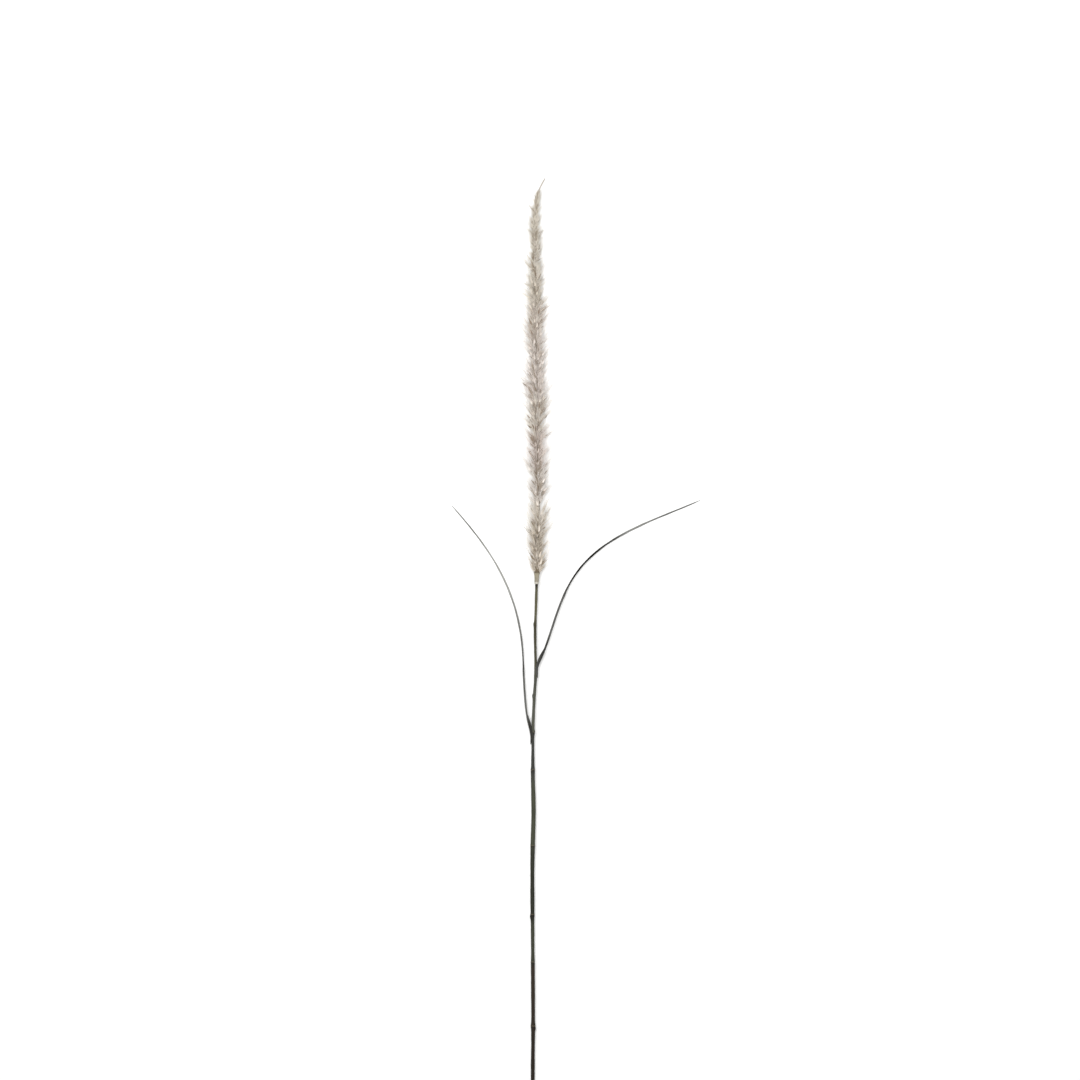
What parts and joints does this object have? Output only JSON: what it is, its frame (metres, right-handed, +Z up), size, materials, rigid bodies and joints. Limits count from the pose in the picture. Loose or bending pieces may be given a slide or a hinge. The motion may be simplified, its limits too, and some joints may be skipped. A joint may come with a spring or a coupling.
{
  "type": "dried fountain grass stem",
  "caption": "Cut stem of dried fountain grass lying down: a long bristly cream plume on a thin noded stem, with narrow arching leaves and a pale collar under the plume.",
  "frame": {"origin": "middle of the bounding box's length and width, on the surface that the stem lies on", "axes": "+Y along the stem towards the plume's tip, +X towards the longer-reaching leaf, +Z up from the surface"},
  "size_m": [0.2243, 1, 0.0186],
  "materials": {
    "stem": "satin",
    "leaf": "matte",
    "collar": "matte",
    "plume": "matte"
  },
  "bodies": {
    "root": {"stem": "stem", "leaf_left": "leaf", "leaf_right": "leaf", "collar": "collar", "plume": "plume"}
  },
  "joints": []
}
